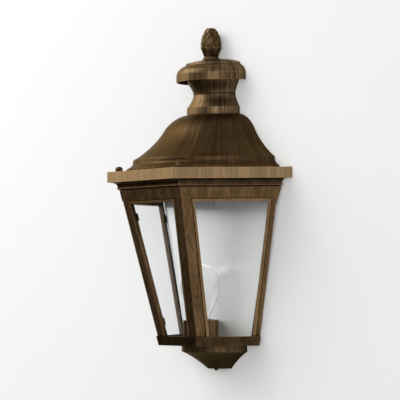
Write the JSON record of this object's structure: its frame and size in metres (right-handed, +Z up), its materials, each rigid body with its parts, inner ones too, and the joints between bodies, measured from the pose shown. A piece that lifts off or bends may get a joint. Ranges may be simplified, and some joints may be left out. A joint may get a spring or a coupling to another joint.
{
  "type": "outdoor wall light",
  "caption": "Half-hexagon wall lantern with a bell roof, waisted neck, domed cap, cone finial, clear leaning panes and a clear bulb, flat to the wall.",
  "frame": {"origin": "on the wall plane, at the middle of the mounting strap and of its two box screw holes", "axes": "+Y into the wall, +Z up, +X to the right for someone who faces the lantern"},
  "size_m": [0.3246, 0.1408, 0.4889],
  "materials": {
    "body_metal": "brushed, brown patina",
    "dark_metal": "brushed, dark brown patina",
    "light_metal": "brushed, worn patina",
    "steel": "plain",
    "pane_glass": "clear",
    "bulb_glass": "clear",
    "reflector_sheet": "satin",
    "porcelain": "dark glaze",
    "contact_brass": "plain",
    "lead_cover": "matte"
  },
  "bodies": {
    "lantern": {"finial": "dark_metal", "cap": "light_metal", "upper_neck": "body_metal", "lower_neck": "body_metal", "roof_bell": "dark_metal", "roof_tray": "light_metal", "tie_rod": "steel", "tie_washer": "steel", "tie_nut": "steel", "roof_studs": "steel", "cornice": "body_metal", "front_frame": "body_metal", "left_frame": "body_metal", "right_frame": "body_metal", "front_pane": "pane_glass", "left_pane": "pane_glass", "right_pane": "pane_glass", "glass_clips": "steel", "frame_screws": "steel", "back_panel": "body_metal", "reflector": "reflector_sheet", "mounting_strap": "steel", "strap_studs": "steel", "spacer_nuts": "steel", "cap_nuts": "steel", "ground_screw": "steel", "ledge": "body_metal", "bottom_cup": "body_metal", "cup_rod": "steel", "bottom_knob": "body_metal", "socket_sleeve": "body_metal", "socket": "porcelain", "screw_shell": "contact_brass", "centre_contact": "contact_brass", "socket_ring": "steel", "bulb": "bulb_glass", "lead_wires": "lead_cover"},
    "left_washer": {"left_washer": "dark_metal"},
    "left_nut": {"left_nut": "dark_metal"},
    "right_washer": {"right_washer": "dark_metal"},
    "right_nut": {"right_nut": "dark_metal"}
  },
  "joints": [
    {"name": "left_nut_turn", "type": "hinge", "parent": "left_washer", "child": "left_nut", "pos_m": [-0.0724, -0.1254, 0.1292], "axis": [0, 0, 1], "range_deg": [0, 2160]},
    {"name": "left_washer_rise", "type": "slide", "parent": "lantern", "child": "left_washer", "axis": [0, 0, 1], "range_m": [0, 0.0048]},
    {"name": "right_nut_turn", "type": "hinge", "parent": "right_washer", "child": "right_nut", "pos_m": [0.0724, -0.1254, 0.1292], "axis": [0, 0, 1], "range_deg": [0, 2160]},
    {"name": "right_washer_rise", "type": "slide", "parent": "lantern", "child": "right_washer", "axis": [0, 0, 1], "range_m": [0, 0.0048]}
  ],
  "couplings": [
    {"joint": "left_nut_turn", "follows": "left_washer_rise", "rad_per_m": 7854},
    {"joint": "right_nut_turn", "follows": "right_washer_rise", "rad_per_m": 7854}
  ]
}
